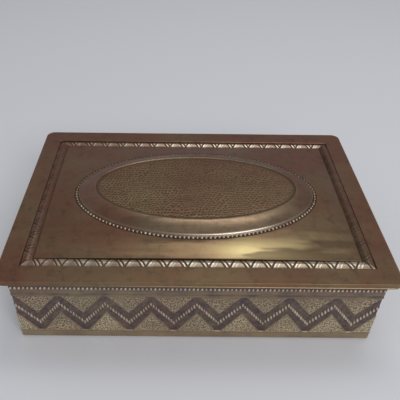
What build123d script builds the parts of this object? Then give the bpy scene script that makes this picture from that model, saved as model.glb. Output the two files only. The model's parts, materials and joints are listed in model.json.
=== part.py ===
from build123d import *
from math import atan, degrees, hypot
import os

# Brass jewelry box: a wooden box clad in pressed brass, with an overhanging lid hinged at the back.
# Millimetres. +Z is up, the front faces -Y, and the origin is the bottom centre of the body.

# Body
body_length = 190.0
body_width = 126.0
body_height = 49.2
sheet = 0.9
wall = 5.0
floor_thickness = 4.0
foot_width = 7.0
felt_thickness = 0.6
felt_inset = 2.0
pad_thickness = 2.0
pad_clearance = 0.4

# Relief on the body panels
foot_band = 5.1
top_band = 14.4
fine_line_width = 0.7
fine_line_height = 0.25
zigzag_pitch = 24.0
triangle_edge_gap = 1.3
triangle_tip_shift = 0.6
ribbon_depth = 0.4
ribbon_bead_inset = 7.1
ribbon_bead_pitch = 2.05
bead_row_drop = 9.2
bead_row_pitch = 2.13
bead_radius = 0.92
bead_sink = 0.2

# Lid pressing
overhang = 5.0
lid_sheet = 0.8
lid_gap = 0.4
lid_edge_depth = 3.0
lid_corner_radius = 5.0
lid_edge_round = 0.7
rim_width = 10.5
strip_width = 5.8
strip_sink = 0.5
strip_crest = 0.6
strip_bevel = 1.6
strip_relief = 0.25
strip_pitch = 10.5
strip_margin = 0.3
strip_step = 0.7

# Panel and medallion of the lid
panel_rise = 2.7
ring_end_margin = 14.7
ring_side_margin = 13.0
ring_bead_pitch = 2.3
ring_bead_radius = 0.98
ledge_half_width = 1.3
shoulder_foot_rise = 2.0
shoulder_foot_run = 0.8
shoulder_rise = 4.7
shoulder_bulge = 1.7
shoulder_end_width = 10.6
shoulder_side_width = 9.3
lip_width = 1.1
field_sink = 0.7
field_edge_sink = 0.4
field_edge_width = 3.5

# Wood and velvet inside the lid
board_thickness = 4.0
mouth_clearance = 0.6
lining_thickness = 1.0
lining_inset = 2.0

# Hinges
hinge_length = 24.0
hinge_spacing = 110.0
hinge_setback = 0.1
hinge_drop = 0.8
hinge_sheet = 0.9
knuckle_radius = 1.5
knuckle_gap = 0.2
knuckle_clearance = 0.2
pin_radius = 0.7
pin_clearance = 0.04
lid_leaf_width = 3.6
leaf_margin = 0.5
screw_radius = 0.6
screw_head_radius = 1.1
screw_head_height = 0.5
screw_slot = 0.3
screw_length = 4.0
screw_inset = 3.5
screw_clearance = 0.05

# Pins through the turned-in feet of the panels
foot_pin_radius = 0.5
foot_pin_head_radius = 0.9
foot_pin_length = 3.2
foot_pin_inset = 4.4
foot_pin_spacing = 40.0
foot_pin_clearance = 0.05

# Sizes that follow from those above
rim_under = body_height + lid_gap
rim_top = rim_under + lid_sheet
lid_edge_foot = rim_top - lid_edge_depth
lid_length = body_length + 2 * overhang
lid_width = body_width + 2 * overhang
inner_length = lid_length - 2 * lid_sheet
inner_width = lid_width - 2 * lid_sheet
floor_under = felt_thickness + sheet
floor_top = floor_under + floor_thickness
box_length = body_length - 2 * sheet
box_width = body_width - 2 * sheet
mouth_length = box_length - 2 * wall
mouth_width = box_width - 2 * wall
band_foot = felt_thickness + foot_band
band_top = body_height - top_band
triangle_tip = (band_foot + band_top) / 2 + triangle_tip_shift
bead_row_height = body_height - bead_row_drop
strip_level = rim_top - strip_sink
strip_length = lid_length - 2 * rim_width
strip_depth = lid_width - 2 * rim_width
panel_length = strip_length - 2 * strip_width
panel_width = strip_depth - 2 * strip_width
ledge_level = strip_level + panel_rise
ring_a = panel_length / 2 - ring_end_margin
ring_b = panel_width / 2 - ring_side_margin
lip_a = ring_a - shoulder_end_width
lip_b = ring_b - shoulder_side_width
lip_level = ledge_level + shoulder_rise
field_level = lip_level - field_sink
hinge_y = body_width / 2 + (overhang - lid_sheet) / 2 + hinge_setback
hinge_z = rim_under - hinge_drop - knuckle_radius
leaf_foot = bead_row_height + bead_radius + leaf_margin
leaf_top = hinge_z + knuckle_radius / 2
knuckle_length = (hinge_length - 2 * knuckle_gap) / 3

os.makedirs("parts", exist_ok=True)


def save(part, name):
    """Labels a finished piece and writes it to its own file."""
    part.label = name
    export_step(part, f"parts/{name}.step")


def spread(length, pitch):
    """Places of evenly spaced copies that fill a length at about the given pitch."""
    count = max(2, round(length / pitch))
    return [(i + 0.5) * length / count - length / 2 for i in range(count)]


front_face = Plane(origin=(0, -body_width / 2, 0), x_dir=(1, 0, 0), z_dir=(0, -1, 0))
back_face = Plane(origin=(0, body_width / 2, 0), x_dir=(-1, 0, 0), z_dir=(0, 1, 0))
left_face = Plane(origin=(-body_length / 2, 0, 0), x_dir=(0, -1, 0), z_dir=(-1, 0, 0))
right_face = Plane(origin=(body_length / 2, 0, 0), x_dir=(0, 1, 0), z_dir=(1, 0, 0))
on_base = (Align.CENTER, Align.CENTER, Align.MIN)

hinge_centres = {"left": -hinge_spacing / 2, "right": hinge_spacing / 2}
screw_height = (leaf_foot + hinge_z - knuckle_radius) / 2
screw_reach = hinge_length / 2 - screw_inset
screw_places = [
    (centre + offset, screw_height)
    for centre in hinge_centres.values()
    for offset in (-screw_reach, 0, screw_reach)
]
pin_row_x = body_length / 2 - foot_pin_inset
pin_row_y = body_width / 2 - foot_pin_inset
foot_pin_places = [
    (x, side * pin_row_y)
    for x in spread(body_length - 2 * foot_width, foot_pin_spacing)
    for side in (-1, 1)
]
foot_pin_places += [
    (side * pin_row_x, y)
    for y in spread(body_width - 2 * foot_width, foot_pin_spacing)
    for side in (-1, 1)
]
foot_pin_taper = degrees(atan((foot_pin_head_radius - foot_pin_radius) / sheet))


# Wooden bottom and walls
with BuildPart() as floor_board:
    with BuildSketch(Plane.XY.offset(floor_under)):
        Rectangle(box_length, box_width)
    extrude(amount=floor_thickness)
    with BuildSketch(Plane.XY.offset(floor_under)):
        with Locations(*foot_pin_places):
            Circle(foot_pin_radius + foot_pin_clearance)
    extrude(amount=foot_pin_length - sheet + foot_pin_clearance, mode=Mode.SUBTRACT)
save(floor_board.part, "floor_board")

with BuildPart() as front_board:
    with BuildSketch(Plane.XY.offset(floor_top)):
        with Locations((0, (wall - box_width) / 2)):
            Rectangle(box_length, wall)
    extrude(amount=body_height - floor_top)
save(front_board.part, "front_board")

with BuildPart() as back_board:
    with BuildSketch(Plane.XY.offset(floor_top)):
        with Locations((0, (box_width - wall) / 2)):
            Rectangle(box_length, wall)
    extrude(amount=body_height - floor_top)
    with BuildSketch(back_face.offset(-sheet)):
        with Locations(*screw_places):
            Circle(screw_radius + screw_clearance)
    extrude(amount=hinge_sheet + sheet - screw_length - screw_clearance, mode=Mode.SUBTRACT)
save(back_board.part, "back_board")

for name, side in (("left_board", -1), ("right_board", 1)):
    with BuildPart() as short_board:
        with BuildSketch(Plane.XY.offset(floor_top)):
            with Locations((side * (box_length - wall) / 2, 0)):
                Rectangle(wall, mouth_width)
        extrude(amount=body_height - floor_top)
    save(short_board.part, name)


# Pressed brass sides
def zigzag_beads(width, periods):
    """Places of the beads along the middle of a zigzag ribbon that starts and ends high."""
    low = band_foot + ribbon_bead_inset
    high = band_top - ribbon_bead_inset
    run = width / periods / 2
    steps = max(2, round(hypot(run, high - low) / ribbon_bead_pitch))
    places = []
    for leg in range(2 * periods):
        start, end = (low, high) if leg % 2 else (high, low)
        for step in range(steps):
            share = step / steps
            places.append((-width / 2 + (leg + share) * run, start + (end - start) * share))
    return [place for place in places if abs(place[0]) < width / 2 - bead_radius]


def pressed_panel(face, width):
    """A brass side of the body. The face plane has its x along the side and its y up."""
    plan = Plane(origin=face.origin, x_dir=face.x_dir, z_dir=(0, 0, 1)).offset(felt_thickness)
    periods = max(2, round(width / zigzag_pitch))
    period = width / periods
    reach = period / 2 - triangle_edge_gap
    half = width / 2
    ends = half - foot_width
    inner = half - sheet
    with BuildPart() as panel:
        with BuildSketch(plan):
            Polygon((-half, 0), (half, 0), (ends, foot_width), (-ends, foot_width), align=None)
        extrude(amount=sheet)
        with BuildSketch(plan):
            Polygon((-half, 0), (half, 0), (inner, sheet), (-inner, sheet), align=None)
        extrude(amount=body_height - felt_thickness)
        with BuildSketch(face):
            with Locations((0, band_foot), (0, band_top)):
                Rectangle(width, fine_line_width)
        extrude(amount=fine_line_height)
        with BuildSketch(face):
            with Locations((0, (band_foot + band_top) / 2)):
                Rectangle(width + 2 * sheet, band_top - band_foot - fine_line_width)
            with Locations(*[(u, 0) for u in spread(width, period)]):
                Polygon(
                    (-reach, band_top),
                    (0, triangle_tip),
                    (reach, band_top),
                    align=None,
                    mode=Mode.SUBTRACT,
                )
            with Locations(*[(i * period - half, 0) for i in range(periods + 1)]):
                Polygon(
                    (-reach, band_foot),
                    (reach, band_foot),
                    (0, triangle_tip),
                    align=None,
                    mode=Mode.SUBTRACT,
                )
        extrude(amount=-ribbon_depth, mode=Mode.SUBTRACT)
        with Locations(face.offset(-ribbon_depth)):
            with Locations(*zigzag_beads(width, periods)):
                Sphere(bead_radius, arc_size1=0, align=on_base)
        with Locations(face.offset(-bead_sink)):
            with Locations(*[(u, bead_row_height) for u in spread(width, bead_row_pitch)]):
                Sphere(bead_radius, arc_size1=0, align=on_base)
        with BuildSketch(Plane.XY.offset(felt_thickness)):
            with Locations(*foot_pin_places):
                Circle(foot_pin_head_radius + foot_pin_clearance)
        extrude(amount=sheet, taper=foot_pin_taper, mode=Mode.SUBTRACT)
    return panel.part


save(pressed_panel(front_face, body_length), "front_panel")
save(pressed_panel(left_face, body_width), "left_panel")
save(pressed_panel(right_face, body_width), "right_panel")

with BuildPart() as back_panel:
    add(pressed_panel(back_face, body_length))
    with BuildSketch(back_face):
        with Locations(*screw_places):
            Circle(screw_radius + screw_clearance)
    extrude(amount=-sheet, mode=Mode.SUBTRACT)
save(back_panel.part, "back_panel")

with BuildPart() as panel_pins:
    with BuildSketch(Plane.XY.offset(felt_thickness)):
        with Locations(*foot_pin_places):
            Circle(foot_pin_head_radius)
    extrude(amount=sheet, taper=foot_pin_taper)
    with BuildSketch(Plane.XY.offset(felt_thickness)):
        with Locations(*foot_pin_places):
            Circle(foot_pin_radius)
    extrude(amount=foot_pin_length)
save(panel_pins.part, "panel_pins")


# Felt under the box and velvet pad on its floor
with BuildPart() as base_felt:
    with BuildSketch():
        Rectangle(body_length - 2 * felt_inset, body_width - 2 * felt_inset)
    extrude(amount=felt_thickness)
save(base_felt.part, "base_felt")

with BuildPart() as floor_pad:
    with BuildSketch(Plane.XY.offset(floor_top)):
        Rectangle(mouth_length - 2 * pad_clearance, mouth_width - 2 * pad_clearance)
    extrude(amount=pad_thickness)
    fillet(floor_pad.edges().group_by(Axis.Z)[-1], pad_thickness * 0.4)
save(floor_pad.part, "floor_pad")


# Hinges
def body_leaf(centre):
    """The leaf on the back of the body, which carries the two outer knuckles."""
    outer = (hinge_length - knuckle_length) / 2
    middle = knuckle_length + 2 * knuckle_gap
    with BuildPart() as leaf:
        with BuildSketch(back_face):
            with Locations((-centre, (leaf_foot + leaf_top) / 2)):
                Rectangle(hinge_length, leaf_top - leaf_foot)
        extrude(amount=hinge_sheet)
        with BuildSketch(Plane.YZ.offset(centre)):
            with Locations((hinge_y, hinge_z)):
                Circle(knuckle_radius + knuckle_clearance)
        extrude(amount=middle / 2, both=True, mode=Mode.SUBTRACT)
        for side in (-1, 1):
            with BuildSketch(Plane.YZ.offset(centre + side * outer)):
                with Locations((hinge_y, hinge_z)):
                    Circle(knuckle_radius)
                with Locations((body_width / 2, hinge_z - knuckle_radius)):
                    Rectangle(hinge_y - body_width / 2, hinge_sheet, align=(Align.MIN, Align.MIN))
            extrude(amount=knuckle_length / 2, both=True)
        with BuildSketch(Plane.YZ.offset(centre)):
            with Locations((hinge_y, hinge_z)):
                Circle(pin_radius + pin_clearance)
        extrude(amount=hinge_length, both=True, mode=Mode.SUBTRACT)
        with BuildSketch(back_face.offset(hinge_sheet)):
            with Locations(*[(-x, z) for x, z in screw_places]):
                Circle(screw_head_radius + screw_clearance)
        extrude(amount=-screw_head_height, taper=screw_taper, mode=Mode.SUBTRACT)
        with BuildSketch(back_face.offset(hinge_sheet)):
            with Locations(*[(-x, z) for x, z in screw_places]):
                Circle(screw_radius + screw_clearance)
        extrude(amount=-hinge_sheet, mode=Mode.SUBTRACT)
    return leaf.part


def lid_leaf(centre):
    """The leaf soldered under the rim of the lid, which carries the middle knuckle."""
    outer = (hinge_length - knuckle_length) / 2
    with BuildPart() as leaf:
        with BuildSketch(Plane.XY.offset(rim_under - hinge_sheet)):
            with Locations((centre, hinge_y)):
                Rectangle(hinge_length, lid_leaf_width)
        extrude(amount=hinge_sheet)
        for side in (-1, 1):
            with BuildSketch(Plane.YZ.offset(centre + side * outer)):
                with Locations((hinge_y, hinge_z)):
                    Circle(knuckle_radius + knuckle_clearance)
            extrude(amount=knuckle_length / 2 + knuckle_gap, both=True, mode=Mode.SUBTRACT)
        with BuildSketch(Plane.YZ.offset(centre)):
            with Locations((hinge_y, hinge_z)):
                Circle(knuckle_radius)
            with Locations((hinge_y + knuckle_radius, hinge_z)):
                Rectangle(hinge_sheet, rim_under - hinge_z, align=(Align.MAX, Align.MIN))
        extrude(amount=knuckle_length / 2, both=True)
        with BuildSketch(Plane.YZ.offset(centre)):
            with Locations((hinge_y, hinge_z)):
                Circle(pin_radius + pin_clearance)
        extrude(amount=hinge_length, both=True, mode=Mode.SUBTRACT)
    return leaf.part


def hinge_pin(centre):
    """The pin through the knuckles of one hinge."""
    with BuildPart() as pin:
        with BuildSketch(Plane.YZ.offset(centre)):
            with Locations((hinge_y, hinge_z)):
                Circle(pin_radius)
        extrude(amount=hinge_length / 2, both=True)
    return pin.part


screw_taper = degrees(atan((screw_head_radius - screw_radius) / screw_head_height))
for side, centre in hinge_centres.items():
    save(body_leaf(centre), f"{side}_body_leaf")
    save(lid_leaf(centre), f"{side}_lid_leaf")
    save(hinge_pin(centre), f"{side}_hinge_pin")

with BuildPart() as hinge_screws:
    with BuildSketch(back_face.offset(hinge_sheet)):
        with Locations(*screw_places):
            Circle(screw_head_radius)
    extrude(amount=-screw_head_height, taper=screw_taper)
    with BuildSketch(back_face.offset(hinge_sheet)):
        with Locations(*screw_places):
            Circle(screw_radius)
    extrude(amount=-screw_length)
    with BuildSketch(back_face.offset(hinge_sheet)):
        with Locations(*screw_places):
            Rectangle(2 * screw_head_radius, screw_slot)
    extrude(amount=-screw_slot, mode=Mode.SUBTRACT)
save(hinge_screws.part, "hinge_screws")


# Lid
def oval(level, a, b):
    """One level of the medallion, in four arcs that meet near the diagonals of the panel."""
    with BuildSketch(Plane.XY.offset(level)) as outline:
        with BuildLine():
            for quarter in range(4):
                EllipticalCenterArc((0, 0), a, b, start_angle=quarter * 90 - 45, arc_size=90)
        make_face()
    return outline.sketch


def block(level):
    """The foot of the panel, whose four sides match the arcs of an oval."""
    x, y = panel_length / 2, panel_width / 2
    with BuildSketch(Plane.XY.offset(level)) as outline:
        with BuildLine():
            Polyline((x, -y), (x, y), (-x, y), (-x, -y), close=True)
        make_face()
    return outline.sketch


def strip_pattern(plane, length):
    """Raised triangles and the zigzag between them, along one side of the border strip."""
    count = max(2, round(length / strip_pitch))
    pitch = length / count
    reach = strip_width - strip_margin
    with BuildSketch(plane) as pattern:
        with Locations(*[(u, 0) for u in spread(length, strip_pitch)]):
            Polygon(
                (-0.29 * pitch, strip_margin),
                (0.29 * pitch, strip_margin),
                (0, 0.78 * strip_width),
                align=None,
            )
        with Locations(*[(i * pitch - length / 2, 0) for i in range(count + 1)]):
            Polygon(
                (-0.14 * pitch, reach),
                (0, 0.45 * strip_width),
                (0.14 * pitch, reach),
                align=None,
            )
            for side in (-1, 1):
                Polygon(
                    (-side * 0.03 * pitch, strip_margin),
                    (side * 0.11 * pitch, strip_margin),
                    (side * 0.32 * pitch, reach),
                    (side * 0.21 * pitch, reach),
                    align=None,
                )
        corner = length / 2 - strip_margin
        inset = corner - strip_width
        Polygon(
            (-corner, 0),
            (corner, 0),
            (inset, strip_width),
            (-inset, strip_width),
            align=None,
            mode=Mode.INTERSECT,
        )
    return pattern.sketch


strip_taper = degrees(atan(strip_bevel / strip_crest))
with BuildSketch(Plane.XY.offset(strip_level)) as strip_frame:
    Rectangle(strip_length, strip_depth)
    Rectangle(panel_length, panel_width, mode=Mode.SUBTRACT)

with BuildSketch(Plane.XY.offset(strip_level)) as strip_ground:
    add(strip_frame.sketch)
    for x, y, along, length in (
        (0, -strip_depth / 2, (1, 0, 0), strip_length),
        (0, strip_depth / 2, (-1, 0, 0), strip_length),
        (-strip_length / 2, 0, (0, -1, 0), strip_depth),
        (strip_length / 2, 0, (0, 1, 0), strip_depth),
    ):
        side_plane = Plane(origin=(x, y, strip_level), x_dir=along, z_dir=(0, 0, 1))
        add(strip_pattern(side_plane, length), mode=Mode.SUBTRACT)

with BuildPart() as strip:
    extrude(strip_frame.sketch, amount=strip_relief)
    raised = strip_frame.sketch.moved(Location((0, 0, strip_relief)))
    extrude(raised, amount=strip_crest, taper=strip_taper)
    extrude(strip_ground.sketch, amount=strip_crest + strip_relief, mode=Mode.SUBTRACT)
    extrude(strip_frame.sketch, amount=strip_crest, taper=strip_taper)

ledge_a = ring_a + ledge_half_width
ledge_b = ring_b + ledge_half_width
foot_a = ring_a - ledge_half_width
foot_b = ring_b - ledge_half_width
wall_a = foot_a - shoulder_foot_run
wall_b = foot_b - shoulder_foot_run
wall_top = ledge_level + shoulder_foot_rise
bulge_level = wall_top + shoulder_bulge
bulge_a = (wall_a + lip_a) / 2
bulge_b = (wall_b + lip_b) / 2
field_a = lip_a - lip_width
field_b = lip_b - lip_width
edge_level = field_level - field_edge_sink
with BuildPart() as lid_shell:
    with BuildSketch(Plane.XY.offset(lid_edge_foot)):
        RectangleRounded(lid_length, lid_width, lid_corner_radius)
    extrude(amount=lid_edge_depth)
    fillet(lid_shell.edges().group_by(Axis.Z)[-1], lid_edge_round)
    with BuildSketch(Plane.XY.offset(lid_edge_foot)):
        RectangleRounded(inner_length, inner_width, lid_corner_radius - lid_sheet)
    extrude(amount=lid_edge_depth - lid_sheet, mode=Mode.SUBTRACT)
    with BuildSketch(Plane.XY.offset(strip_level - lid_sheet)):
        Rectangle(strip_length - 2 * strip_step, strip_depth - 2 * strip_step)
    extrude(amount=lid_sheet)
    with BuildSketch(Plane.XY.offset(strip_level)):
        Rectangle(strip_length, strip_depth)
    extrude(amount=strip_sink, mode=Mode.SUBTRACT)
    loft([block(strip_level), oval(ledge_level, ledge_a, ledge_b)], ruled=True)
    loft([oval(ledge_level, foot_a, foot_b), oval(wall_top, wall_a, wall_b)], ruled=True)
    loft(
        [
            oval(wall_top, wall_a, wall_b),
            oval(bulge_level, bulge_a, bulge_b),
            oval(lip_level, lip_a, lip_b),
        ]
    )
    with BuildSketch(Plane.XY.offset(edge_level)):
        Ellipse(field_a, field_b)
    extrude(amount=lip_level - edge_level, mode=Mode.SUBTRACT)
    loft(
        [
            oval(edge_level, field_a, field_b),
            oval(field_level, field_a - field_edge_width, field_b - field_edge_width),
        ],
        ruled=True,
    )
    loft(
        [block(strip_level - lid_sheet), oval(ledge_level - lid_sheet, ring_a, ring_b)],
        ruled=True,
        mode=Mode.SUBTRACT,
    )
    loft(
        [
            oval(ledge_level - 2 * lid_sheet, foot_a - lid_sheet, foot_b - lid_sheet),
            oval(wall_top - lid_sheet, wall_a - lid_sheet, wall_b - lid_sheet),
        ],
        ruled=True,
        mode=Mode.SUBTRACT,
    )
    loft(
        [
            oval(wall_top - lid_sheet, wall_a - lid_sheet, wall_b - lid_sheet),
            oval(edge_level - lid_sheet, bulge_a - lid_sheet, bulge_b - lid_sheet),
        ],
        ruled=True,
        mode=Mode.SUBTRACT,
    )
    ring = oval(ledge_level - bead_sink, ring_a, ring_b).wires()[0]
    ring_count = round(ring.length / ring_bead_pitch)
    with Locations(*[Location(ring @ ((i + 0.5) / ring_count)) for i in range(ring_count)]):
        Sphere(ring_bead_radius, arc_size1=0, align=on_base)
    add(strip.part)
save(lid_shell.part, "lid_shell")

board_top = strip_level - lid_sheet
with BuildPart() as lid_board:
    with BuildSketch(Plane.XY.offset(board_top - board_thickness)):
        Rectangle(mouth_length - 2 * mouth_clearance, mouth_width - 2 * mouth_clearance)
    extrude(amount=board_thickness)
save(lid_board.part, "lid_board")

with BuildPart() as lid_lining:
    with BuildSketch(Plane.XY.offset(board_top - board_thickness - lining_thickness)):
        Rectangle(
            mouth_length - 2 * mouth_clearance - 2 * lining_inset,
            mouth_width - 2 * mouth_clearance - 2 * lining_inset,
        )
    extrude(amount=lining_thickness)
save(lid_lining.part, "lid_lining")
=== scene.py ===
import json
import math

import bmesh
import bpy
import numpy as np
from mathutils import Matrix, Vector


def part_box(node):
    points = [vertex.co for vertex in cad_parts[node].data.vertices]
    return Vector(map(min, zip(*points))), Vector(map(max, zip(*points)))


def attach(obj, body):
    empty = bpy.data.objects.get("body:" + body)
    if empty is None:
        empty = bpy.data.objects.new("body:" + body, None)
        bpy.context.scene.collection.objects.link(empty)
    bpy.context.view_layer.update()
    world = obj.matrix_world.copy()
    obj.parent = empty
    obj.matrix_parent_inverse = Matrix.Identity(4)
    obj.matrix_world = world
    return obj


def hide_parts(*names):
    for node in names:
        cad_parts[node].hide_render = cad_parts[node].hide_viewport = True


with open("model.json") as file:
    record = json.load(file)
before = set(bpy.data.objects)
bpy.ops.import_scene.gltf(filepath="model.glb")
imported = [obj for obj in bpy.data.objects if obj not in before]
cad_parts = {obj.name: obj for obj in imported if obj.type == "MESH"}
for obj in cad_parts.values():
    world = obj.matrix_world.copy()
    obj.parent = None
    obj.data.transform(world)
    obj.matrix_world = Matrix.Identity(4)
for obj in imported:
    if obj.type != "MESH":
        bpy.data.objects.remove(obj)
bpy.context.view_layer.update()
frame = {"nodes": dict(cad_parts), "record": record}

# Sizes of the body in millimetres. They are the solids' own, but for BAND_TOP, which is fitted
# to the photograph, and the hammer marks, which the solids don't have
MM = 0.001
LENGTH, WIDTH, TOP = 190.0, 126.0, 49.2
SHEET, FELT, FOOT = 0.9, 0.6, 7.0
BAND_FOOT, BAND_TOP = 5.7, 34.4
TRIANGLE_TIP, TRIANGLE_GAP = 20.85, 1.3
WAVE_LENGTH, RIBBON_DEPTH = 24.0, 0.4
BEAD_LOW, BEAD_HIGH, BEAD_ROW = 12.8, 27.7, 40.0
BEAD_RADIUS, RIBBON_BEAD_PITCH, ROW_BEAD_PITCH = 0.92, 2.05, 2.13
SIDE_MARK, SIDE_MARK_DEPTH = 1.22, 0.2

# Sizes of the lid in millimetres. RIM, STRIP, STRIP_LEVEL, the lip and the hammer marks are fitted
# to the photograph
LID_LENGTH, LID_WIDTH, LID_TOP, LID_FOOT = 200.0, 136.0, 50.4, 47.4
LID_SHEET, LID_CORNER = 0.8, 5.0
RIM, STRIP, STRIP_PITCH, STRIP_LEVEL = 10.8, 5.5, 10.5, 49.5
PANEL_X, PANEL_Y = LID_LENGTH / 2 - RIM - STRIP, LID_WIDTH / 2 - RIM - STRIP
LEDGE, LEDGE_HALF = 52.6, 1.3
RING_A, RING_B, RING_BEAD_RADIUS, RING_BEAD_PITCH = 69.0, 38.7, 0.98, 2.3
LIP_A, LIP_B, OVAL_LEVEL = 57.0, 28.0, 56.75
OVAL_MARK, OVAL_MARK_DEPTH = 1.85, 0.12

# Chance values that every pattern takes its own from, by the shift it asks for
TABLE = 64
rng = np.random.default_rng(7)
noise_table = rng.random((TABLE, TABLE))
cell_table = rng.random((TABLE, TABLE, 2))


# Numbers
def smooth(x):
    """0 below 0, 1 above 1, and an even curve between."""
    x = np.clip(x, 0, 1)
    return x * x * (3 - 2 * x)


def hill(x, middle, reach):
    """1 at the middle, falling to about a third one reach away and to nothing three away."""
    return np.exp(-(((x - middle) / reach) ** 2))


def cloud(x, y, size, shift):
    """Soft noise from 0 to 1, with hills about the given size apart."""
    x, y = x / size + shift, y / size + shift
    i, j = np.floor(x).astype(int), np.floor(y).astype(int)
    p, q = smooth(x - i), smooth(y - j)
    i0, i1, j0, j1 = i % TABLE, (i + 1) % TABLE, j % TABLE, (j + 1) % TABLE
    low = noise_table[i0, j0] * (1 - p) + noise_table[i1, j0] * p
    high = noise_table[i0, j1] * (1 - p) + noise_table[i1, j1] * p
    return low * (1 - q) + high * q


def clouds(x, y, size, shift):
    """Three layers of soft noise, each finer and fainter."""
    layers = [cloud(x, y, size / 2**k, shift + 9 * k) / 2**k for k in range(3)]
    return sum(layers) / 1.75


def marks(x, y, size, shift, jitter, reach):
    """Hammer marks in wavy rows: 1 in the middle of each mark and 0 between the marks."""
    drift, drift_size = size * 1.6, size * 5
    stagger, length, breadth, softness, far = 0.5, 0.88, 1.15, 0.6, 9.0
    x = x + drift * (cloud(x, y, drift_size, shift) - 0.5)
    y = y + drift * (cloud(x, y, drift_size, shift + 5) - 0.5)
    gx, gy = np.floor(x / size).astype(int), np.floor(y / size).astype(int)
    nearest = np.full(x.shape, far)
    for i in (-1, 0, 1):
        for j in (-1, 0, 1):
            chance = cell_table[(gx + i) % TABLE, (gy + j) % TABLE]
            to_side = stagger * ((gy + j) % 2 - 0.5)
            dx = x - (gx + i + 0.5 + jitter * (chance[..., 0] - 0.5) + to_side) * size
            dy = y - (gy + j + 0.5 + jitter * (chance[..., 1] - 0.5)) * size
            turn = chance[..., 0] * 6.0
            along = dx * np.cos(turn) + dy * np.sin(turn)
            across = dy * np.cos(turn) - dx * np.sin(turn)
            nearest = np.minimum(nearest, np.hypot(along * length, across * breadth) / size)
    return smooth((reach - nearest) / reach / softness)


def gilding(x, y):
    """How far the lid's brown patina is rubbed down to olive: most at the front and right."""
    toward_front_right = 0.45 * x - 0.9 * y
    patches = 0.3 * (clouds(x, y, 40, 31) - 0.5)
    return 0.85 * smooth((toward_front_right + 18) / 92) - 0.3 + patches


def stacked(x, y, z):
    """Points from their three coordinates."""
    return np.stack([x, y, z], -1)


# Meshes
def sheet_mesh(name, points, body, node, slot, closed=False, merge=False, look=None, **values):
    """A smooth mesh over rows and columns of points in millimetres, with values at the points."""
    rows, cols = points.shape[:2]
    i = np.arange(rows - 1)[:, None] * cols
    j = np.arange(cols if closed else cols - 1)[None, :]
    k = (j + 1) % cols
    corners = np.broadcast_arrays(i + j, i + k, i + cols + k, i + cols + j)
    quads = np.stack(corners, -1).reshape(-1, 4)
    mesh = bpy.data.meshes.new(name)
    mesh.from_pydata((points.reshape(-1, 3) * MM).tolist(), [], quads.tolist())
    for key, value in values.items():
        set_values(mesh, key, np.broadcast_to(value, (rows, cols)))
    if merge:
        with_bmesh(mesh, lambda work: bmesh.ops.remove_doubles(
            work, verts=work.verts, dist=0.01 * MM))
    return finish_piece(name, mesh, body, node, slot, look)


def set_values(mesh, key, values):
    """Keeps one number per point of a mesh, for its material to read."""
    layer = mesh.attributes.new(key, "FLOAT", "POINT")
    layer.data.foreach_set("value", values.astype(np.float32).ravel())


def with_bmesh(mesh, change):
    """Makes one change to a mesh through bmesh."""
    work = bmesh.new()
    work.from_mesh(mesh)
    change(work)
    work.to_mesh(mesh)
    work.free()


def finish_piece(name, mesh, body, node, slot, look=None):
    """Shows a mesh in place of a CAD node, riding on its body."""
    mesh.shade_smooth()
    piece = bpy.data.objects.new(name, mesh)
    bpy.context.scene.collection.objects.link(piece)
    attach(piece, body)
    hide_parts(node)
    piece.data.materials.append(MATERIALS[look or slot])
    return piece


def bead_cap(radius, shape, lean):
    """Points and faces of one half round bead, and how high up it each point is, from 0 to 1."""
    turns, rings = 10, 4
    angles = np.arange(turns) * 2 * math.pi / turns
    cap = []
    for t in np.arange(rings) * math.pi / 2 / rings:
        across, up = radius * math.cos(t), radius * math.sin(t)
        cap += [(across * np.cos(a), across * np.sin(a), up) for a in angles]
    cap = np.array([*cap, (0, 0, radius)])
    heights = cap[:, 2] / radius
    cap[:, 0] = cap[:, 0] * shape[0] + cap[:, 1] * lean
    cap[:, 1] = cap[:, 1] * shape[1]
    cap[:, 2] = cap[:, 2] * shape[2]
    faces = []
    for r in range(rings):
        for t in range(turns):
            here, beside = r * turns + t, r * turns + (t + 1) % turns
            if r < rings - 1:
                faces.append([here, beside, beside + turns, here + turns])
            else:
                faces.append([here, beside, rings * turns])
    return cap, faces, heights


def bead_mesh(name, centres, radius, place, body, node, slot, shape=(1, 1, 1), lean=0.0, shine=1.0):
    """Many beads in one mesh, no two quite the same size. Centres are (u, v, h), and place turns
    them into points. The tops carry wear and a painted highlight, and the feet painted shade."""
    cap, cap_faces, heights = bead_cap(radius, shape, lean)
    chance = noise_table.ravel()[np.arange(len(centres)) % TABLE**2]
    sizes, shines = 0.86 + 0.2 * chance, shine * (0.7 + 0.3 * chance)
    points, faces = [], []
    for index, centre in enumerate(centres):
        points.append(np.array(centre) + cap * sizes[index])
        faces += [[corner + index * len(cap) for corner in face] for face in cap_faces]
    uvh = np.concatenate(points)
    mesh = bpy.data.meshes.new(name)
    mesh.from_pydata((place(uvh[:, 0], uvh[:, 1], uvh[:, 2]) * MM).tolist(), [], faces)
    # Painted highlight with wear on the tops, painted shade at the feet
    set_values(mesh, "wear", np.outer(shines, 0.1 + 0.9 * heights**1.5))
    set_values(mesh, "tone", np.tile(0.8 * (1 - heights) ** 2, len(centres)))
    return finish_piece(name, mesh, body, node, slot, "worn_and_highlit_brass")


# Materials
def start_material(name):
    """A material, a way to add nodes to it, its links, its shader and the object's coordinates."""
    material = bpy.data.materials.new(name)
    material.use_nodes = True
    tree = material.node_tree

    def add(kind, **inputs):
        node = tree.nodes.new(kind)
        for key, value in inputs.items():
            node.inputs[key.replace("_", " ")].default_value = value
        return node

    where = add("ShaderNodeTexCoord").outputs["Object"]
    return material, add, tree.links, tree.nodes["Principled BSDF"], where


def roughen(add, links, shader, height, strength, distance):
    """Fine bumps over the whole surface of a material."""
    bump = add("ShaderNodeBump", Strength=strength, Distance=distance)
    links.new(height, bump.inputs["Height"])
    links.new(bump.outputs["Normal"], shader.inputs["Normal"])


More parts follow.
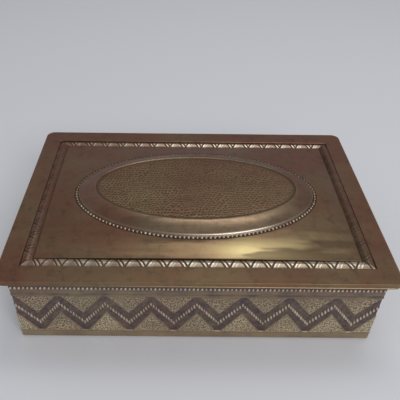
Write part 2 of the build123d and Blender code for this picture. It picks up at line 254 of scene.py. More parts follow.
def brass(name, brown, olive, dark, bright, roughness):
    """Aged brass: brown and olive clouds, dark where the value tone is high, from patina and
    painted shade, bright where wear and painted highlight are, and more olive where gild is high."""
    material, add, links, shader, where = start_material(name)
    shader.inputs["Metallic"].default_value = 0.92

    def noise(size, detail, stretch=(1, 1, 1)):
        mapping = add("ShaderNodeMapping", Scale=stretch)
        texture = add("ShaderNodeTexNoise", Scale=size, Detail=detail, Roughness=0.6)
        links.new(where, mapping.inputs["Vector"])
        links.new(mapping.outputs["Vector"], texture.inputs["Vector"])
        return texture.outputs["Fac"]

    def spread(value, low, high, to_low=0.0, to_high=1.0):
        node = add("ShaderNodeMapRange", From_Min=low, From_Max=high, To_Min=to_low, To_Max=to_high)
        links.new(value, node.inputs["Value"])
        return node.outputs["Result"]

    def mixed(factor, a, b):
        node = add("ShaderNodeMix")
        node.data_type = "RGBA"
        links.new(factor, node.inputs["Factor"])
        for socket, value in zip([s for s in node.inputs if s.type == "RGBA"], (a, b)):
            if isinstance(value, tuple):
                socket.default_value = (*value, 1)
            else:
                links.new(value, socket)
        return [s for s in node.outputs if s.type == "RGBA"][0]

    def reckoned(a, b, how="MULTIPLY"):
        node = add("ShaderNodeMath")
        node.operation = how
        node.use_clamp = True
        for socket, value in zip(node.inputs, (a, b)):
            if isinstance(value, float):
                socket.default_value = value
            else:
                links.new(value, socket)
        return node.outputs[0]

    def value_of(key):
        node = add("ShaderNodeAttribute")
        node.attribute_name = key
        return node.outputs["Fac"]

    tone, wear = value_of("tone"), value_of("wear")
    wide, fine = noise(26, 5), noise(210, 4)
    grain = noise(90, 5, (0.25, 1, 1))
    colour = mixed(reckoned(spread(wide, 0.36, 0.62), value_of("gild"), "ADD"), brown, olive)
    colour = mixed(reckoned(spread(fine, 0.5, 0.75), 0.45), colour, dark)
    colour = mixed(reckoned(wear, spread(grain, 0.3, 0.6, 0.55, 1.0)), colour, bright)
    colour = mixed(reckoned(tone, 0.9), colour, dark)
    links.new(colour, shader.inputs["Base Color"])
    rough = spread(grain, 0.25, 0.75, roughness - 0.07, roughness + 0.1)
    rough = reckoned(rough, reckoned(tone, 0.22), "ADD")
    links.new(rough, shader.inputs["Roughness"])
    roughen(add, links, shader, noise(1500, 3), 0.12, 0.0002)
    return material


def cloth(name, low, high, sheen):
    """Short pile or felt: fine fibres with a soft sheen."""
    material, add, links, shader, where = start_material(name)
    shader.inputs["Roughness"].default_value = 0.95
    shader.inputs["Sheen Weight"].default_value = sheen
    shader.inputs["Sheen Roughness"].default_value = 0.4
    fibres = add("ShaderNodeTexNoise", Scale=2200, Detail=3)
    patches = add("ShaderNodeTexNoise", Scale=45, Detail=4)
    both, half = add("ShaderNodeMath"), add("ShaderNodeMath")
    both.operation = "ADD"
    half.operation = "MULTIPLY"
    half.inputs[1].default_value = 0.5
    for socket, texture in zip(both.inputs, (fibres, patches)):
        links.new(where, texture.inputs["Vector"])
        links.new(texture.outputs["Fac"], socket)
    links.new(both.outputs[0], half.inputs[0])
    ramp = add("ShaderNodeValToRGB")
    for element, position, colour in zip(ramp.color_ramp.elements, (0.35, 0.65), (low, high)):
        element.position = position
        element.color = (*colour, 1)
    links.new(half.outputs[0], ramp.inputs["Fac"])
    links.new(ramp.outputs["Color"], shader.inputs["Base Color"])
    roughen(add, links, shader, fibres.outputs["Fac"], 0.5, 0.0003)
    return material


def wood(name, low, high):
    """Plain softwood with rings drawn out along the board."""
    material, add, links, shader, where = start_material(name)
    shader.inputs["Roughness"].default_value = 0.62
    mapping = add("ShaderNodeMapping", Scale=(0.12, 1, 1))
    wave = add("ShaderNodeTexWave", Scale=95, Distortion=4, Detail=3)
    wave.bands_direction = "Z"
    fine = add("ShaderNodeTexNoise", Scale=900, Detail=4)
    ramp = add("ShaderNodeValToRGB")
    for element, colour in zip(ramp.color_ramp.elements, (low, high)):
        element.color = (*colour, 1)
    links.new(where, mapping.inputs["Vector"])
    for texture in (wave, fine):
        links.new(mapping.outputs["Vector"], texture.inputs["Vector"])
    links.new(wave.outputs["Fac"], ramp.inputs["Fac"])
    links.new(ramp.outputs["Color"], shader.inputs["Base Color"])
    roughen(add, links, shader, fine.outputs["Fac"], 0.25, 0.0002)
    return material


MATERIALS = {
    "lid_brass": brass(
        "aged_lid_brass", brown=(0.208, 0.098, 0.062), olive=(0.225, 0.147, 0.083),
        dark=(0.05, 0.033, 0.022), bright=(0.7, 0.56, 0.28), roughness=0.34),
    # Pale bright for wear and painted highlights on the strip, the medallion and the beads
    "worn_and_highlit_brass": brass(
        "worn_and_highlit_lid_brass", brown=(0.205, 0.1, 0.065), olive=(0.222, 0.158, 0.1),
        dark=(0.05, 0.033, 0.02), bright=(0.78, 0.68, 0.55), roughness=0.34),
    "body_brass": brass(
        "aged_body_brass", brown=(0.32, 0.215, 0.14), olive=(0.345, 0.265, 0.165),
        dark=(0.1, 0.077, 0.096), bright=(0.7, 0.58, 0.37), roughness=0.4),
    "fitting_brass": brass(
        "fitting_brass", brown=(0.45, 0.33, 0.16), olive=(0.52, 0.4, 0.2),
        dark=(0.12, 0.08, 0.05), bright=(0.8, 0.66, 0.36), roughness=0.33),
    "box_wood": wood("box_softwood", low=(0.2, 0.115, 0.055), high=(0.38, 0.24, 0.125)),
    "velvet": cloth("red_velvet", low=(0.17, 0.016, 0.026), high=(0.28, 0.032, 0.046), sheen=0.35),
    "base_cloth": cloth("green_felt", low=(0.03, 0.05, 0.03), high=(0.08, 0.12, 0.075), sheen=0.1),
}
SLOT_OF = {part["node"]: part["material_slot"] for part in frame["record"]["subparts"]}
for node_name, cad_object in frame["nodes"].items():
    cad_object.data.materials.clear()
    cad_object.data.materials.append(MATERIALS[SLOT_OF[node_name]])


# Sides of the body
def waves(width):
    """How many waves the ribbon makes across a side, and the length of one."""
    count = round(width / WAVE_LENGTH)
    return count, width / count


def side_relief(u, v, width):
    """Height of the pressed relief over the plain face, how dark it is and how worn and lit."""
    period = waves(width)[1]
    reach = period / 2 - TRIANGLE_GAP
    rise, fall = (BAND_TOP - TRIANGLE_TIP) / reach, (TRIANGLE_TIP - BAND_FOOT) / reach
    to_low = np.abs((u + width / 2) / period % 1 - 0.5) * period
    to_high = period / 2 - to_low
    above = (v - TRIANGLE_TIP - to_low * rise) / math.hypot(1, rise)
    below = (TRIANGLE_TIP - to_high * fall - v) / math.hypot(1, fall)
    inside = np.minimum(v - BAND_FOOT, BAND_TOP - v) - 0.35

    # field is how far a point is inside a triangle, and ribbon is 1 between the triangles
    field = np.minimum(np.maximum(above, below), inside)
    ribbon = smooth(inside / 0.4) * smooth(-np.maximum(above, below) / 0.45)
    hammered = smooth(field / 0.5)
    pits = marks(u, v, SIDE_MARK, width, 0.6, 0.42)
    height = -RIBBON_DEPTH * ribbon - SIDE_MARK_DEPTH * hammered * pits
    height = height + 0.1 * hammered * (1 - smooth((field - 0.2) / 0.9))
    for level in (BAND_FOOT, BAND_TOP):
        ridge, groove = 0.25 * hill(v, level, 0.3), 0.12 * hill(v, level + 0.9, 0.4)
        height = height + ridge - groove
    waviness = 0.16 * (clouds(u, v, 34, width) - 0.5)
    height = height + waviness * smooth((width / 2 - np.abs(u)) / 6)

    # Dark: the ribbon, the hammer marks, smears on the plain band, a line and a wider seam of dirt
    # at its foot, and painted shadow of the lid from the row of beads up
    dirt = 0.7 + 0.5 * (clouds(u, v, 4, 3) - 0.5) + 0.5 * (cloud(u, v, 1.2, 9) - 0.5)
    smears = smooth((v - BAND_TOP - 0.4) / 0.6) * (clouds(u * 0.4, v, 3, 8) - 0.15)
    seam = smooth((v - BAND_TOP) / 0.4) * smooth((BAND_TOP + 2.6 - v) / 1.0)
    seam_dirt = np.clip(0.5 + 1.1 * (clouds(u, v, 7, 14) - 0.5), 0, 1)
    dark = np.maximum.reduce([
        ribbon * dirt,
        hammered * pits,
        0.9 * smears,
        0.8 * hill(v, BAND_TOP + 0.5, 0.5) * clouds(u, v, 14, 7),
        # Painted shadow under the lid's overhang
        0.85 * smooth((v - BEAD_ROW + 1.3) / 0.9),
        seam * seam_dirt])

    # Worn bright: the tops between the marks, with painted light making them brighter low down, the
    # foot and the triangles' edges
    # Painted light: lighter toward the bottom
    painted_light_low = smooth((BAND_TOP - v) / 22)
    tops = hammered * (1 - pits) * (0.25 + clouds(u, v, 16, 21))
    worn_and_lit = np.maximum.reduce([
        (0.45 + 0.85 * painted_light_low) * tops,
        0.4 * smooth((BAND_FOOT - v) / 1) * clouds(u, v, 9, 11),
        0.35 * smooth(1 - np.abs(field - 0.15) / 0.35) * clouds(u, v, 7, 2)])
    return height, dark, worn_and_lit


def pressed_side(node, width, place):
    """One side of the body: a thin pressed sheet with a turned-in foot and rounded corners,
    the beads along its ribbon and the row of beads under the lid."""
    half, corner, corner_round, corner_cols, spacing, rows = width / 2, 1.2, 0.8, 7, 0.31, 143
    u = np.concatenate([np.linspace(-half, corner - half, corner_cols)[:-1],
                        np.linspace(corner - half, half - corner, round(width / spacing)),
                        np.linspace(half - corner, half, corner_cols)[1:]])
    v = np.linspace(1.1, TOP - 0.3, rows)
    grid_u, grid_v = np.meshgrid(u, v)
    height, dark, worn_and_lit = side_relief(grid_u, grid_v, width)
    from_end = np.clip((half - np.abs(grid_u)) / corner_round, 0, 1)
    height = height - corner_round * (1 - np.sqrt(1 - (1 - from_end) ** 2))

    # Rows of points below and above the relief, each with its level and its heights over the face
    flat, low, high = height[[0]] * 0, height[[0]], height[[-1]]
    foot = [(1.5, flat - FOOT), (FELT, flat - FOOT), (FELT, flat - corner_round),
            (0.68, low - 0.35), (0.84, low - 0.1)]
    brim = [(TOP - 0.1, high - 0.1), (TOP, high - 0.35), (TOP, flat - SHEET),
            (TOP - 1, flat - SHEET)]
    levels = [[np.full((1, len(u)), level) for level, heights in part] for part in (foot, brim)]
    plain = [np.zeros((len(part), len(u))) for part in (foot, brim)]
    all_v = np.concatenate([*levels[0], grid_v, *levels[1]])
    all_h = np.concatenate([*(row[1] for row in foot), height, *(row[1] for row in brim)])
    all_u = np.broadcast_to(u, all_v.shape)
    all_u = np.clip(all_u, -(half + all_h), half + all_h)
    sheet_mesh(f"{node}_sheet", place(all_u, all_v, all_h), "body", node, "body_brass", merge=True,
               tone=np.concatenate([plain[0], dark, plain[1]]),
               wear=np.concatenate([plain[0], worn_and_lit, plain[1]]))

    count, period = waves(width)
    run = period / 2
    steps = round(math.hypot(run, BEAD_HIGH - BEAD_LOW) / RIBBON_BEAD_PITCH)
    beads = []
    for leg in range(2 * count):
        start, end = (BEAD_LOW, BEAD_HIGH) if leg % 2 else (BEAD_HIGH, BEAD_LOW)
        for share in (step / steps for step in range(steps)):
            bead_u = -half + (leg + share) * run
            if abs(bead_u) < half - BEAD_RADIUS:
                beads.append((bead_u, start + (end - start) * share, -RIBBON_DEPTH - 0.1))
    bead_mesh(f"{node}_ribbon_beads", beads, BEAD_RADIUS, place, "body", node, "body_brass",
              shape=(0.92, 1.8, 0.8), lean=-0.3)
    count = round(width / ROW_BEAD_PITCH)
    beads = [((i + 0.5) * width / count - half, BEAD_ROW, -0.2) for i in range(count)]
    bead_mesh(f"{node}_row_beads", beads, BEAD_RADIUS, place, "body", node, "body_brass",
              shape=(0.9, 1.15, 0.75))


pressed_side("front_panel", LENGTH, lambda u, v, h: stacked(u, -WIDTH / 2 - h, v))
pressed_side("back_panel", LENGTH, lambda u, v, h: stacked(-u, WIDTH / 2 + h, v))
pressed_side("left_panel", WIDTH, lambda u, v, h: stacked(-LENGTH / 2 - h, -u, v))
pressed_side("right_panel", WIDTH, lambda u, v, h: stacked(LENGTH / 2 + h, u, v))


# Rim and turned-down edge of the lid
def outline(inset):
    """Points round the lid at some distance in from its edge."""
    x, y = LID_LENGTH / 2 - inset, LID_WIDTH / 2 - inset
    r, arc = max(LID_CORNER - inset, 0.0), 8
    signs = np.array([(1, -1), (1, 1), (-1, 1), (-1, -1)])
    points = []
    for corner in range(4):
        centre, next_centre = (signs[k % 4] * (x - r, y - r) for k in (corner, corner + 1))
        for step in range(arc + 1):
            a = math.radians(-90 + 90 * corner + 90 * step / arc)
            points.append(centre + r * np.array([math.cos(a), math.sin(a)]))
        start = points[-1]
        end = next_centre + r * np.array([math.cos(a), math.sin(a)])
        count = int((LID_WIDTH, LID_LENGTH)[corner % 2] - 2 * LID_CORNER)
        points += [start + (end - start) * k / count for k in range(1, count)]
    return np.array(points)


def edge_share(inset, level):
    """For one row of the rim, 1 on the outer face of the turned-down edge, and how much painted
    highlight it carries.
    """
    on_lip = inset < 0.35 and 47 < level < 47.9
    on_face = inset < 0.46 and level > 47.9
    return float(inset < 0.46 and level > 47), 0.16 if on_lip else 0.1 if on_face else 0.0


# Each row of the rim as its distance in from the edge and its level: from the strip over the top,
# round the edge and back along the underside
top_rows = [(inset, LID_TOP) for inset in np.linspace(10.4, 0.45, 20)]
round_rows = [(0.45 - 0.2 * math.sin(a), LID_TOP - 0.2 + 0.2 * math.cos(a))
              for a in np.linspace(0.3, math.pi / 2, 4)]
lip_rows = [(0.35 - 0.35 * math.sin(a), 47.45 + 0.35 * math.cos(a))
            for a in np.linspace(0.4, 2.6, 8)]
under_rows = [(0.6, 47.1), (LID_SHEET, 47.2), (LID_SHEET, 48.6), (LID_SHEET, 49.4), (1.1, 49.6),
              (4, 49.6), (11.0, 49.5), (11.2, 49.15), (13.5, 49.15)]
profile = [(RIM, STRIP_LEVEL), (10.78, 50.1), (10.6, 50.33), *top_rows, *round_rows,
           (0.25, 49.2), (0.25, 48.2), *lip_rows, *under_rows]
loops = []
for inset, level in profile:
    loop = outline(inset)
    height = np.full(len(loop), float(level))
    if level > 50.3 and 0.4 < inset < 10.5:
        height = height - 0.1 * clouds(loop[:, 0], loop[:, 1], 30, 4)
    if level < LID_FOOT:
        # At the back, where the hinges are, the edge reaches no lower than the solids' does
        height = height + (LID_FOOT - level) * smooth((loop[:, 1] - 50) / 12)
    loops.append(stacked(loop[:, 0], loop[:, 1], height))
rim_points = np.array(loops)
rim_x, rim_y = rim_points[..., 0], rim_points[..., 1]
edge_rows, edge_wear = np.array([edge_share(*row) for row in profile]).T[..., None]
# Painted highlight along the lip and face of the turned-down edge, stronger toward the right
rim_wear = edge_wear * (0.35 + 0.65 * smooth((rim_x + 70) / 60))
rim_gild = 0.55 * (clouds(rim_x, rim_y, 34, 31) - 0.5) + 0.12 - 0.25 * edge_rows
rim_gild = rim_gild - 0.65 * smooth((rim_y - 25) / 25) - 0.25 * smooth((-rim_x - 60) / 30)
sheet_mesh("lid_rim", rim_points, "lid", "lid_shell", "lid_brass", closed=True, merge=True,
           wear=rim_wear, gild=rim_gild)


# Border strip
def strip_relief(u, v, pitch, length):
    """1 on the strip's raised triangles and strokes and 0 in its grooves, and how worn it is, with
    a painted highlight toward the edge where v is 0. Widths along the strip are shares of the
    pitch."""
    base, tip, gap, line, line_half = 0.27, 0.93 * STRIP, 0.27, 0.138, 0.066
    along = ((u + length / 2) / pitch) % 1 - 0.5
    side = base * (1 - v / tip)
    lean = pitch / math.hypot(1, base * pitch / tip)
    big = side - np.abs(along)
    stroke = line_half - np.abs(np.abs(along) - side - line)
    small = np.abs(along) - side - gap
    raised = smooth(np.maximum(np.maximum(big, stroke), small) * lean / 0.32 + 0.5)
    raised = np.maximum(raised, smooth((0.1 - np.abs(along + side + 0.03)) / 0.05) * 0.7)
    raised = raised * smooth(np.minimum(v - 0.05, STRIP - 0.35 - v) / 0.3 + 0.5)
    worn_and_lit = 0.24 + 0.76 * np.maximum(smooth(stroke * 18), smooth(small * 12))
    worn_and_lit = np.maximum(worn_and_lit, smooth((0.11 - np.abs(along + side + 0.02)) / 0.06))
    # Painted highlight toward the edge where v is 0
    return raised, worn_and_lit * raised * (0.3 + 0.7 * smooth((1.0 - v / STRIP) / 0.4))


def strip_side(side, length, shine, place):
    """Points, tone and wear of the strip along one side of the lid, with painted shade on the
    slopes turned from the light and painted light on those turned to it, fading along each strip.
    The back one is turned round, and the short ones are fainter, darker with painted shade over
    mottled dirt."""
    turned, is_long = side == "back", side in ("front", "back")
    count, spacing, rows = round(length / STRIP_PITCH), 0.22, 27
    u, v = np.meshgrid(np.linspace(-length / 2, length / 2, round(length / spacing)),
                       np.linspace(0, STRIP, rows))
    pattern_u, pattern_v = (-u, STRIP - v) if turned else (u, v)
    raised, worn_and_lit = strip_relief(pattern_u, pattern_v, length / count, length)
    grooves = 1 - raised
    if is_long:
        # Painted light: the back strip lit on its inner half only, each long strip fading toward
        # the left, the rest in painted shade
        lit = smooth((v / STRIP - 0.42) / 0.2) if turned else 1.0
        shade = 0.8 * grooves + 0.55 * (1 - lit)
        fade = 0.35 + 0.65 * smooth((70 - u) / 80) if turned else 0.6 + 0.4 * smooth((u + 85) / 60)
        lit = lit * fade
    else:
        mottled = clouds(u, v, 5, 12)
        inner = smooth((v / STRIP - 0.4) / 0.25)
        # Painted shade on the left strip's outer half and the right strip's inner half, over
        # mottled dirt, and painted light fading toward the back
        if side == "left":
            shade = (0.12 + (1 - inner) * grooves) * (0.35 + mottled) + 0.3 * grooves
            lit = 0.5 * smooth((u + 10) / 60)
        else:
            shade = (0.15 + 0.5 * inner) * (0.35 + mottled) + 0.3 * grooves
            shade = shade + 0.3 * (clouds(u, v, 3, 15) - 0.5)
            lit = 0.6 * smooth((-u - 5) / 60) * mottled
    mitre = smooth((length / 2 - v - np.abs(u)) / 0.3)
    roof = 1 - np.sqrt((v / STRIP * 2 - 1) ** 2 + 0.04)
    relief = 0.24 * (1.0 if is_long else 0.4) * raised * mitre * smooth(roof / 0.2)
    lift = 0.45 * smooth((length / 2 - np.abs(u)) / 9) * smooth((STRIP - v) / 2)
    z = STRIP_LEVEL + 0.02 + (0.0 if is_long else lift) + 0.95 * np.maximum(roof, 0) + relief
    u = np.clip(u, v - length / 2, length / 2 - v)
    return place(u, v, z), np.clip(shade, 0, 1), shine * lit * worn_and_lit * mitre


long_strip, short_strip = LID_LENGTH - 2 * RIM, LID_WIDTH - 2 * RIM
strip_parts = zip(
    strip_side("front", long_strip, 0.95, lambda u, v, z: stacked(u, RIM + v - LID_WIDTH / 2, z)),
    strip_side("right", short_strip, 0.2, lambda u, v, z: stacked(LID_LENGTH / 2 - RIM - v, u, z)),
    strip_side("back", long_strip, 1.0, lambda u, v, z: stacked(-u, LID_WIDTH / 2 - RIM - v, z)),
    strip_side("left", short_strip, 0.2, lambda u, v, z: stacked(RIM + v - LID_LENGTH / 2, -u, z)))
strip_points, strip_tone, strip_wear = (np.concatenate(parts, 1) for parts in strip_parts)
strip_gild = gilding(strip_points[..., 0], strip_points[..., 1])
strip_gild = strip_gild - 0.4 * (np.abs(strip_points[..., 0]) > 84)
sheet_mesh("lid_strip", strip_points, "lid", "lid_shell", "lid_brass", closed=True, merge=True,
           look="worn_and_highlit_brass", tone=strip_tone, wear=strip_wear, gild=strip_gild)


# Panel that swells from the strip up to the medallion
ledge_a, ledge_b, mean_radius, rows = RING_A + LEDGE_HALF, RING_B + LEDGE_HALF, 52, 46
corner_angle = math.atan2(PANEL_Y / ledge_b, PANEL_X / ledge_a)
angles = np.linspace(-corner_angle, 2 * math.pi - corner_angle, 721)[:-1]
for special in (corner_angle, math.pi - corner_angle, math.pi + corner_angle):
    angles[np.argmin(np.abs(angles - special))] = special
oval_x, oval_y = ledge_a * np.cos(angles), ledge_b * np.sin(angles)
stretch = np.minimum(PANEL_X / np.maximum(np.abs(oval_x), 1e-6),
                     PANEL_Y / np.maximum(np.abs(oval_y), 1e-6))
share = np.concatenate([[0, 0], np.linspace(0, 1, rows)])[:, None]
panel_x = oval_x * (stretch + (1 - stretch) * share)
panel_y = oval_y * (stretch + (1 - stretch) * share)

# The swell: steepest near the strip, and level at the medallion
from_x, from_y = PANEL_X - np.abs(panel_x), PANEL_Y - np.abs(panel_y)
from_strip = np.maximum(from_x + from_y - np.hypot(from_x, from_y), 0)
from_oval = (np.hypot(panel_x / ledge_a, panel_y / ledge_b) - 1) * mean_radius
swell = 1 - (1 - from_strip / (from_strip + np.maximum(from_oval, 0) + 1e-6)) ** 1.5
edge_x, edge_y = panel_x[0] / PANEL_X, panel_y[0] / PANEL_Y
on_long_side = np.abs(edge_y) > 0.999
edge_rise = np.where(on_long_side, 1.0 * (1 - edge_x**2) * (edge_y < 0), 0.3 * (1 - edge_y**2))
edge_level = STRIP_LEVEL + 0.2 + edge_rise
panel_z = edge_level + (LEDGE - edge_level) * swell
waviness = 0.14 * clouds(panel_x, panel_y, 26, 2)
panel_z = panel_z - waviness * smooth(share * 8) * smooth((1 - share) * 8)
panel_z[0] = STRIP_LEVEL - 0.02
panel_z[1] = edge_level - 0.2

# Its worn patch at the front, lightened further as a painted highlight, with dark streaks to the
# left and right of it
patch = hill(panel_x, 28, np.where(panel_x < 28, 17, 24)) * hill(panel_y, -47, 6)
front_right = hill(panel_x, 50, 34) * hill(panel_y, -42, 11)
front_left = hill(panel_x, -10, 36) * hill(panel_y, -46, 9)
streaks = clouds(panel_x * 0.25, panel_y * 1.6, 9, 13)
brushed = smooth((clouds(panel_x * 0.07, panel_y, 2.6, 23) - 0.4) / 0.25)
panel_wear = np.clip(patch * (0.9 + 0.8 * (streaks - 0.5)), 0, 1)
panel_wear = panel_wear + 0.3 * front_right * smooth((streaks - 0.4) / 0.2)
# Painted shade in the groove along the strip's edge
panel_tone = 0.25 * (1 - smooth(share * 30))
panel_tone = panel_tone + 0.6 * smooth((0.5 - streaks) / 0.12) * front_right
panel_tone = panel_tone + 0.14 * (1 - patch) * (1 - brushed) * smooth((-panel_y - 5) / 30)
panel_tone = panel_tone + 0.5 * front_left * (0.3 + smooth((0.52 - streaks) / 0.15))
panel_gild = gilding(panel_x, panel_y) + 0.5 * front_left - 0.3 * smooth((panel_y - 5) / 40)
sheet_mesh("lid_panel", stacked(panel_x, panel_y, panel_z), "lid", "lid_shell", "lid_brass",
           closed=True, wear=panel_wear, tone=np.clip(panel_tone, 0, 1), gild=panel_gild)


# Medallion: the ledge that the beads stand on, the rounded shoulder and the lip, each ring as its
# half length, half width and level
foot_a, foot_b, foot_level = 67.6, 37.3, 54.0
run_a, run_b, rise = 9.2, 7.9, 3.25
rounds = [(ledge_a, ledge_b, LEDGE), (69.6, 39.3, 52.5), (68.8, 38.5, 52.45), (68.4, 38.1, 52.55),
          (68.2, 37.9, 52.9), (68.1, 37.8, 53.2), (68.0, 37.7, 53.5), (67.85, 37.55, 53.75),
          (foot_a, foot_b, foot_level)]
for t in np.arange(1, 17) / 17:
    bulge = 0.35 * t + 0.65 * math.sin(t * math.pi / 2)
    rounds.append((foot_a - run_a * t, foot_b - run_b * t, foot_level + rise * bulge))
rounds += [(58.3, 29.3, 57.27), (58.0, 29.0, 57.28), (57.7, 28.7, 57.25), (57.5, 28.5, 57.1),
           (57.35, 28.35, 56.85), (57.15, 28.15, 56.72), (LIP_A, LIP_B, 56.7)]
phi = np.linspace(0, 2 * math.pi, 541)[:-1]
rings = np.array([stacked(a * np.cos(phi), b * np.sin(phi), np.full(len(phi), z))
                  for a, b, z in rounds])
ring_x, ring_y, ring_z = rings[..., 0], rings[..., 1], rings[..., 2]
shoulder_rings, lip_rings = slice(8, 24), slice(-8, None)
ring_z[shoulder_rings] -= 0.06 * clouds(ring_x[shoulder_rings], ring_y[shoulder_rings], 20, 6)

# Painted shade in the crease at the foot of the wall and in the groove inside the lip
ring_tone = np.array([[0.9 if z < 52.7 else 0.7 if a < 57.4 else 0.0] for a, b, z in rounds])
crease = np.array([[1.0 if 52.8 < z < 54.1 else 0.0] for a, b, z in rounds])
shoulder = np.array([[1.0 if z > 54.5 and a > 57.4 else 0.0] for a, b, z in rounds])
back = smooth((np.sin(phi) - 0.3) / 0.5)[None, :]
front = smooth((-np.sin(phi) - 0.3) / 0.5)[None, :]
# Painted highlight along the front right of the wall top, and on the left of the shoulder
bright_edge = hill(ring_x, 24, 26) * front
ring_streaks = smooth((0.5 - clouds(ring_x * 0.2, ring_y * 1.5, 6, 19)) / 0.2)
ring_tone = ring_tone + 0.35 * shoulder * ring_streaks * (0.4 + 0.6 * front)
ring_wear = crease * (0.08 + 0.75 * bright_edge) * (1 - back)
ring_wear = ring_wear + 0.07 * shoulder * smooth(-ring_x / 40) * (1 - front)
ring_gild = gilding(ring_x, ring_y * 1.4) + shoulder * (0.45 * back + 0.55 * front) + 0.3 * crease
ring_gild = ring_gild - 0.7 * shoulder * smooth((-ring_x - 15) / 40)
ring_gild[lip_rings] += 0.4
# More painted shade on the wall at the back
sheet_mesh("lid_medallion", rings, "lid", "lid_shell", "lid_brass", closed=True, look="worn_and_highlit_brass",
           tone=np.maximum(ring_tone, 0.45 * crease * back), wear=ring_wear, gild=ring_gild)

# Hammered oval inside the lip, on an even grid bent into an oval
s, t = np.meshgrid(np.linspace(-1, 1, 421), np.linspace(-1, 1, 211))
field_x, field_y = LIP_A * s * np.sqrt(1 - t**2 / 2), LIP_B * t * np.sqrt(1 - s**2 / 2)
inward = LIP_B * (1 - np.hypot(field_x / LIP_A, field_y / LIP_B))
hammered = smooth((inward - 0.3) / 0.8)
pits = marks(field_x, field_y, OVAL_MARK, 17, 0.4, 0.4)
field_z = OVAL_LEVEL + 0.12 * smooth(inward / 3) + 0.25 * smooth(inward / 22)
field_z = field_z - OVAL_MARK_DEPTH * hammered * pits
pit_tone = (0.75 + 0.3 * clouds(field_x, field_y, 12, 3)) * hammered * pits
# Painted shade in the groove along the lip, where the field is not hammered
sheet_mesh("lid_hammered_oval", stacked(field_x, field_y, field_z), "lid", "lid_shell", "lid_brass",
           tone=np.clip(np.maximum(0.6 * (1 - hammered), pit_tone), 0, 1),
           wear=0.09 * (1 - pits), gild=0.3 + gilding(field_x, field_y))

# Ring of beads at the foot of the medallion, evenly spaced along the oval
fine_phi = np.linspace(0, 2 * math.pi, 20001)
line = np.stack([RING_A * np.cos(fine_phi), RING_B * np.sin(fine_phi)], -1)
run = np.concatenate([[0], np.cumsum(np.hypot(*np.diff(line, axis=0).T))])
bead_count = round(run[-1] / RING_BEAD_PITCH)
stations = np.interp((np.arange(bead_count) + 0.5) / bead_count * run[-1], run, fine_phi)
centres = [(RING_A * math.cos(a), RING_B * math.sin(a), LEDGE - 0.25) for a in stations]
# Painted highlight on the front beads, dim toward the back
bead_mesh("lid_ring_beads", centres, RING_BEAD_RADIUS, stacked, "lid", "lid_shell", "lid_brass",
          shine=0.1 + 0.75 * smooth((0.25 - np.sin(stations)) / 1.1))


# Velvet and felt
def pad(name, node, body, low, high, crown, slot, under=False):
    """A thin stuffed pad in the given box, with a crowned face drawn in at its edges."""
    (x0, y0, z0), (x1, y1, z1) = [[value / MM for value in corner] for corner in (low, high)]
    cols, rows, drawn_in, thin_edge, dimple = 90, 60, 2.2, 0.1, 0.08
    s, t = np.meshgrid(np.linspace(-1, 1, cols), np.linspace(-1, 1, rows))
    edge_x = np.clip((1 - np.abs(s)) * (x1 - x0) / 2 / drawn_in, 0, 1)
    edge_y = np.clip((1 - np.abs(t)) * (y1 - y0) / 2 / drawn_in, 0, 1)
    shoulder = np.sqrt(1 - (1 - edge_x) ** 2) * np.sqrt(1 - (1 - edge_y) ** 2)
    x, y = (x0 + x1) / 2 + s * (x1 - x0) / 2, (y0 + y1) / 2 + t * (y1 - y0) / 2
    full = thin_edge + (0.9 - crown) * shoulder + crown * shoulder * (1 - s**2) * (1 - t**2)
    full = (z1 - z0) * (full - dimple * shoulder * clouds(x, y, 24, 1))
    face = z1 - full if under else z0 + full
    back = np.full(x.shape, z1 if under else z0)
    verts = np.concatenate([stacked(x, y, z).reshape(-1, 3) for z in (face, back)])

    quads = []
    for i in range(rows - 1):
        for j in range(cols - 1):
            a = i * cols + j
            b = a + rows * cols
            quads += [(a, a + 1, a + cols + 1, a + cols), (b, b + cols, b + cols + 1, b + 1)]
    border = list(range(cols)) + [i * cols + cols - 1 for i in range(1, rows)]
    border += [(rows - 1) * cols + j for j in range(cols - 2, -1, -1)]
    border += [i * cols for i in range(rows - 2, 0, -1)]
    for a, b in zip(border, border[1:] + border[:1]):
        quads.append((a, a + rows * cols, b + rows * cols, b))
    mesh = bpy.data.meshes.new(name)
    mesh.from_pydata((verts * MM).tolist(), [], quads)
    with_bmesh(mesh, lambda work: bmesh.ops.recalc_face_normals(work, faces=work.faces))
    return finish_piece(name, mesh, body, node, slot)


low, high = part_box("floor_pad")
pad("velvet_floor_pad", "floor_pad", "body", low, high, 0.25, "velvet")
low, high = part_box("lid_lining")
lining = pad("velvet_lid_lining", "lid_lining", "lid", low, high, 0.25, "velvet", under=True)
low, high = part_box("base_felt")
felt = pad("felt_under_base", "base_felt", "body", low, high, 0.0, "base_cloth", under=True)


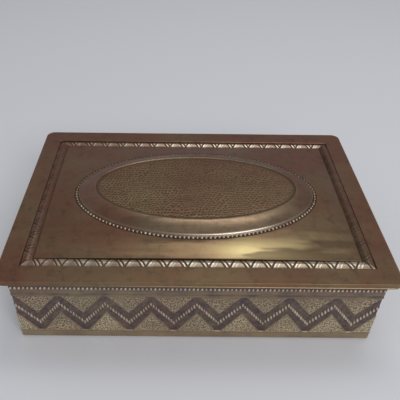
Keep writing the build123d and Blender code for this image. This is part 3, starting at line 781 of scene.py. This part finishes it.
# Floor, lights and camera
floor_mesh = bpy.data.meshes.new("floor")
floor_mesh.from_pydata([(-4, -4, 0), (4, -4, 0), (4, 4, 0), (-4, 4, 0)], [], [(0, 1, 2, 3)])
floor = bpy.data.objects.new("floor", floor_mesh)
bpy.context.scene.collection.objects.link(floor)
pale = bpy.data.materials.new("pale_floor")
pale.use_nodes = True
pale_shader = pale.node_tree.nodes["Principled BSDF"]
pale_shader.inputs["Base Color"].default_value = (0.72, 0.72, 0.745, 1)
pale_shader.inputs["Roughness"].default_value = 0.9
floor_mesh.materials.append(pale)

world = bpy.data.worlds.new("studio")
bpy.context.scene.world = world
world.use_nodes = True
backdrop = world.node_tree.nodes["Background"]
backdrop.inputs["Color"].default_value = (0.92, 0.95, 1.0, 1)
backdrop.inputs["Strength"].default_value = 0.42


def area(name, place, aim, size, power, colour):
    """A soft light of some width and height, turned toward a point."""
    light = bpy.data.lights.new(name, "AREA")
    light.shape = "RECTANGLE"
    light.size, light.size_y = size
    light.energy = power
    light.color = colour
    lamp = bpy.data.objects.new(name, light)
    bpy.context.scene.collection.objects.link(lamp)
    lamp.location = place
    lamp.rotation_euler = (Vector(aim) - Vector(place)).to_track_quat("-Z", "Y").to_euler()


area("overhead", (0.17, 0.24, 1.0), (0.03, -0.02, 0.05), (0.56, 0.3), 1.9, (1.0, 0.98, 0.94))
area("front_fill", (0.5, -1.1, 0.9), (0, 0, 0.03), (0.9, 0.6), 9, (0.95, 0.97, 1.0))

# The camera is fitted to the photograph: its focal length and shift in pixels, and its place
PIXELS, SENSOR = 400, 36.0
eye = bpy.data.cameras.new("photo_camera")
eye.sensor_width = SENSOR
eye.lens = 498.907 / PIXELS * SENSOR
eye.shift_x = 22.782 / PIXELS
eye.shift_y = -2.115 / PIXELS
eye.clip_start, eye.clip_end = 0.01, 20
camera = bpy.data.objects.new("photo_camera", eye)
bpy.context.scene.collection.objects.link(camera)
turn = Matrix.Identity(4)
for angle, axis in ((-0.004872, "Z"), (0.888652, "X"), (0.013097, "Z")):
    turn = turn @ Matrix.Rotation(angle, 4, axis)
camera.matrix_world = Matrix.Translation((-0.01178, -0.228089, 0.233234)) @ turn
bpy.context.scene.camera = camera
bpy.context.scene.view_settings.view_transform = "Standard"
